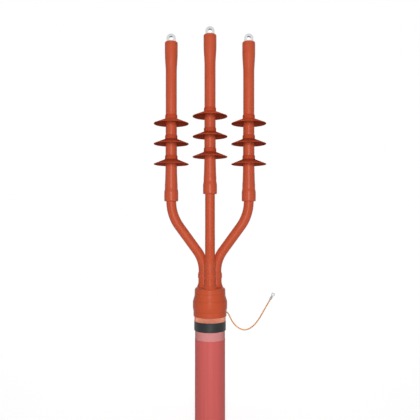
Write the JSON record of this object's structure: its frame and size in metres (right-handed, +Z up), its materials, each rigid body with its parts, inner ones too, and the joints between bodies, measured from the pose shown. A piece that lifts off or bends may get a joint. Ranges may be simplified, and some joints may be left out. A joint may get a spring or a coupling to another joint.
{
  "type": "cable termination",
  "caption": "Outdoor heat-shrink end of a multi-core power cable: breakout boot, bent cores, tubes with rain sheds, bolt lugs and a thin earth lead.",
  "frame": {"origin": "centre of the cable's cut end", "axes": "+Z runs up the cable to the lugs, +X runs along the row of lugs to the side of the earth lead, +Y points away from the camera of the picture"},
  "size_m": [0.2881, 0.0853, 0.949],
  "materials": {
    "cable_sheath": "satin",
    "copper": "satin",
    "bedding": "matte",
    "black_mastic": "satin",
    "heat_shrink": "satin",
    "red_mastic": "matte",
    "lug_metal": "satin",
    "earth_lug_metal": "satin",
    "conductor_metal": "satin",
    "core_insulation": "satin",
    "semiconductor": "matte"
  },
  "bodies": {
    "root": {"outer_sheath": "cable_sheath", "copper_screen": "copper", "bedding": "bedding", "sealing_mastic": "black_mastic", "breakout_boot": "heat_shrink", "crutch_filler": "red_mastic", "earth_lead": "copper", "earth_lug": "earth_lug_metal", "left_lug": "lug_metal", "middle_lug": "lug_metal", "right_lug": "lug_metal", "left_conductor": "conductor_metal", "middle_conductor": "conductor_metal", "right_conductor": "conductor_metal", "left_insulation": "core_insulation", "middle_insulation": "core_insulation", "right_insulation": "core_insulation", "left_core_screen": "semiconductor", "middle_core_screen": "semiconductor", "right_core_screen": "semiconductor", "left_stress_tube": "semiconductor", "middle_stress_tube": "semiconductor", "right_stress_tube": "semiconductor", "left_sleeve": "heat_shrink", "middle_sleeve": "heat_shrink", "right_sleeve": "heat_shrink", "left_tube": "heat_shrink", "middle_tube": "heat_shrink", "right_tube": "heat_shrink", "left_upper_shed": "heat_shrink", "middle_upper_shed": "heat_shrink", "right_upper_shed": "heat_shrink", "left_centre_shed": "heat_shrink", "middle_centre_shed": "heat_shrink", "right_centre_shed": "heat_shrink", "left_lower_shed": "heat_shrink", "middle_lower_shed": "heat_shrink", "right_lower_shed": "heat_shrink", "left_lug_seal": "red_mastic", "middle_lug_seal": "red_mastic", "right_lug_seal": "red_mastic", "left_end_seal": "red_mastic", "middle_end_seal": "red_mastic", "right_end_seal": "red_mastic"}
  },
  "joints": []
}
